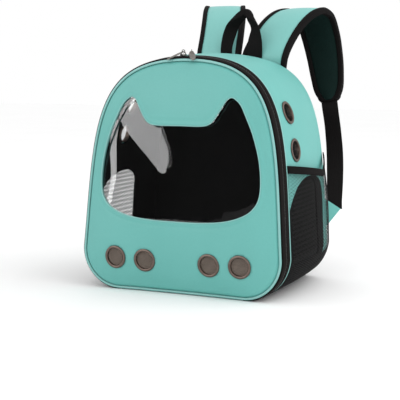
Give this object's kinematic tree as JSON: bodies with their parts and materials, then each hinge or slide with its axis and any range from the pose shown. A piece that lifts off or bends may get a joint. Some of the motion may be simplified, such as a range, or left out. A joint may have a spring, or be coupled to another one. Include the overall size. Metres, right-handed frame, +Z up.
{
  "type": "pet carrier backpack",
  "caption": "Rounded padded backpack for a small pet with a domed zip door, a cat-head window, ringed air vents, net side pockets, padded shoulder straps and a webbing handle.",
  "frame": {"origin": "centre of the flat base, on the floor", "axes": "+Z up, the zip door faces -Y, the straps are on the +Y side, +X is to the right when facing the door"},
  "size_m": [0.334, 0.3574, 0.4092],
  "materials": {
    "mint_fabric": "woven polyester",
    "mint_piping": "woven polyester",
    "black_fabric": "woven polyester over foam",
    "black_net": "knitted net",
    "black_webbing": "woven webbing",
    "dark_padding": "spacer mesh over foam",
    "zip_tape": "woven tape",
    "zip_coil": "nylon coil",
    "zip_metal": "dark nickel",
    "ring_metal": "gunmetal",
    "vent_mesh": "knitted net",
    "clear_film": "clear film"
  },
  "bodies": {
    "bag": {"body_gusset": "mint_fabric", "back_panel": "black_fabric", "front_panel": "mint_fabric", "window_film": "clear_film", "front_piping": "mint_piping", "zip_tape_front": "zip_tape", "zip_tape_rear": "zip_tape", "zip_coil": "zip_coil", "hinge_strip": "mint_fabric", "zip_slider_left": "zip_metal", "zip_slider_right": "zip_metal", "vent_ring_door_outer_left": "ring_metal", "vent_ring_door_inner_left": "ring_metal", "vent_ring_door_inner_right": "ring_metal", "vent_ring_door_outer_right": "ring_metal", "vent_ring_upper_right": "ring_metal", "vent_ring_upper_left": "ring_metal", "vent_ring_lower_right": "ring_metal", "vent_ring_lower_left": "ring_metal", "vent_mesh_door_outer_left": "vent_mesh", "vent_mesh_door_inner_left": "vent_mesh", "vent_mesh_door_inner_right": "vent_mesh", "vent_mesh_door_outer_right": "vent_mesh", "vent_mesh_upper_right": "vent_mesh", "vent_mesh_upper_left": "vent_mesh", "vent_mesh_lower_right": "vent_mesh", "vent_mesh_lower_left": "vent_mesh", "side_mesh_right": "black_net", "side_mesh_left": "black_net", "pocket_net_right": "black_net", "pocket_net_left": "black_net", "pocket_elastic_right": "black_webbing", "pocket_elastic_left": "black_webbing", "strap_face_right": "mint_fabric", "strap_face_left": "mint_fabric", "strap_pad_right": "dark_padding", "strap_pad_left": "dark_padding", "strap_binding_right": "black_webbing", "strap_binding_left": "black_webbing", "strap_webbing_right": "black_webbing", "strap_webbing_left": "black_webbing", "strap_tab_right": "mint_fabric", "strap_tab_left": "mint_fabric", "top_handle": "black_webbing"},
    "zip_pull_left": {"zip_pull_left": "zip_metal"},
    "zip_pull_right": {"zip_pull_right": "zip_metal"}
  },
  "joints": [
    {"name": "zip_pull_left_hinge", "type": "hinge", "parent": "bag", "child": "zip_pull_left", "pos_m": [-0.0085, -0.07099, 0.3316], "axis": [-0.7431, 0.6691, 0], "range_deg": [0, 125]},
    {"name": "zip_pull_right_hinge", "type": "hinge", "parent": "bag", "child": "zip_pull_right", "pos_m": [0.004, -0.07097, 0.33169], "axis": [-0.866, -0.5, 0], "range_deg": [0, 125]}
  ]
}
